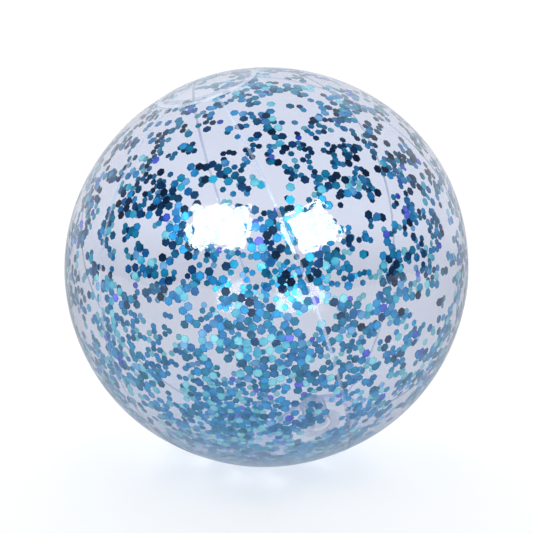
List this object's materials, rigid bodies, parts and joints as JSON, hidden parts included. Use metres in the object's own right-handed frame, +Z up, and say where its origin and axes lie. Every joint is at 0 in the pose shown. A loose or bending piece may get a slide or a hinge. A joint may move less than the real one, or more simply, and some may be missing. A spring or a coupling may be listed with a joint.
{
  "type": "inflatable beach ball",
  "caption": "Clear inflatable beach ball of welded film gores with pole caps, a push-in valve and loose hexagonal confetti inside.",
  "frame": {"origin": "on the ground, straight below the ball's centre, at the middle of its bounding box's bottom face", "axes": "+Z up as the ball rests; the polar axis through both caps leans 22 degrees from +Z towards -X and -Y, so the valve end is low on the +X +Y side; -Z is out of the patch pressed flat on the ground"},
  "size_m": [0.2796, 0.2798, 0.275],
  "materials": {
    "film": "clear glossy PVC film with a faint lavender tint",
    "valve_vinyl": "soft clear moulded vinyl",
    "foil_navy": "metallised hexagonal confetti foil, navy glint",
    "foil_teal": "metallised hexagonal confetti foil, teal glint",
    "foil_blue": "metallised hexagonal confetti foil, blue glint",
    "foil_aqua": "metallised hexagonal confetti foil, aqua glint",
    "foil_violet": "metallised hexagonal confetti foil, violet glint",
    "foil_silver": "metallised hexagonal confetti foil, silver glint"
  },
  "bodies": {
    "ball": {"gore_1": "film", "gore_2": "film", "gore_3": "film", "gore_4": "film", "gore_5": "film", "gore_6": "film", "pole_cap_top": "film", "pole_cap_bottom": "film", "valve_flange": "valve_vinyl", "valve_skirt": "valve_vinyl", "confetti_navy": "foil_navy", "confetti_teal": "foil_teal", "confetti_blue": "foil_blue", "confetti_aqua": "foil_aqua", "confetti_violet": "foil_violet", "confetti_silver": "foil_silver"},
    "valve": {"valve_stem": "valve_vinyl", "plug_strap": "valve_vinyl"},
    "plug": {"valve_plug": "valve_vinyl"},
    "flap": {"check_flap": "valve_vinyl"}
  },
  "joints": [
    {"name": "valve_slide", "type": "slide", "parent": "ball", "child": "valve", "axis": [0.2911, 0.2357, -0.9272], "range_m": [0, 0.02], "deforming": ["valve_skirt"]},
    {"name": "plug_pull", "type": "slide", "parent": "valve", "child": "plug", "axis": [0.2911, 0.2357, -0.9272], "range_m": [0, 0.014], "deforming": ["plug_strap"]},
    {"name": "flap_open", "type": "hinge", "parent": "valve", "child": "flap", "pos_m": [0.0369, 0.03038, 0.03204], "axis": [-0.6839, 0.729, -0.0294], "range_deg": [0, 60], "stiffness_Nm_per_rad": 0.0002}
  ]
}
